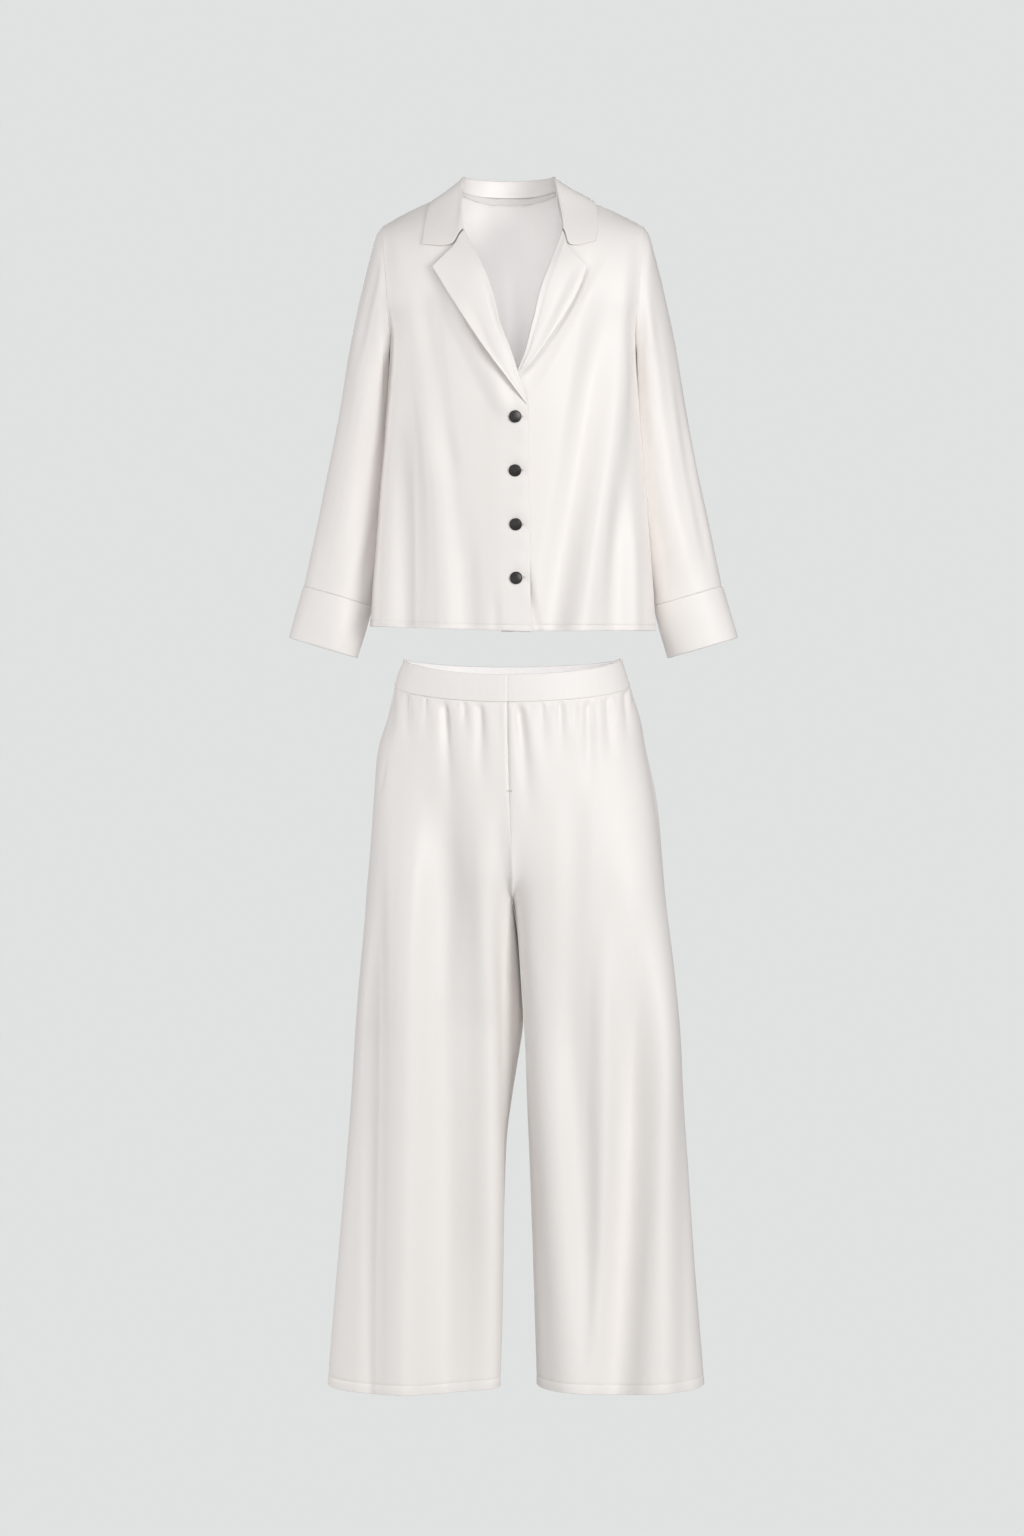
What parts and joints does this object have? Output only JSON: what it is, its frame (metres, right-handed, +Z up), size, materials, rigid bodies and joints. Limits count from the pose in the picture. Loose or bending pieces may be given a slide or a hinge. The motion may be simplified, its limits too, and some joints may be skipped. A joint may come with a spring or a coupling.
{
  "type": "pyjama set",
  "caption": "Long-sleeved pyjama jacket with a notched collar, deep cuffs and a buttoned front, above matching wide-leg trousers with a waistband, both filled out and hollow.",
  "frame": {"origin": "where the wearer's shoulders and neck carry the jacket: the middle of the shoulder line, at the height of the neck seam", "axes": "+Z up, -Y the front of both garments, +X the wearer's left"},
  "size_m": [0.6282, 0.2365, 1.7027],
  "materials": {
    "satin": "soft satin sheen",
    "tape": "matte",
    "button": "soft gloss"
  },
  "bodies": {
    "root": {"front_left": "satin", "front_right": "satin", "back": "satin", "sleeve_left": "satin", "sleeve_right": "satin", "cuff_left": "satin", "cuff_right": "satin", "lapel_left": "satin", "lapel_right": "satin", "collar": "satin", "neck_tape": "tape", "button_1": "button", "button_2": "button", "button_3": "button", "button_4": "button", "trouser_front_left": "satin", "trouser_front_right": "satin", "trouser_back_left": "satin", "trouser_back_right": "satin", "waistband_front": "satin", "waistband_back": "satin"}
  },
  "joints": []
}
